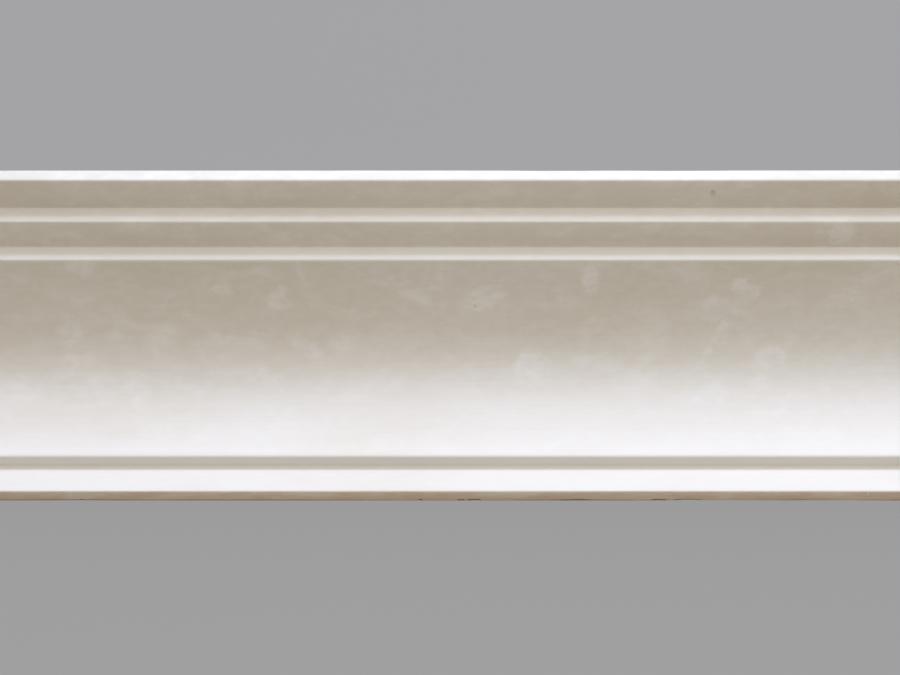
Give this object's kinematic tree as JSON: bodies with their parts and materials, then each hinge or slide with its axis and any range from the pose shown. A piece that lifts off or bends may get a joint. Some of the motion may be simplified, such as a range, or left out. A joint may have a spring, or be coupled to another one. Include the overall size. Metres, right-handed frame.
{
  "type": "plaster cornice",
  "caption": "Straight length of plain plaster cornice with a deep quarter-round cove between a stepped ceiling edge and a flat fillet at the wall, on a flat angled back.",
  "frame": {"origin": "in the plane of the flat diagonal back that the cornice lies on, halfway along its length and halfway between its two edges; the back's own middle is 1.8 mm nearer the wall edge", "axes": "+X along the run; +Y across the face, from the wall edge towards the ceiling edge; +Z straight out of the back through the face. Wall and ceiling beds lean 45 degrees to either side of -Z."},
  "size_m": [1.2, 0.1798, 0.0534],
  "materials": {
    "plaster": "matte"
  },
  "bodies": {
    "root": {"cornice": "plaster"}
  },
  "joints": []
}
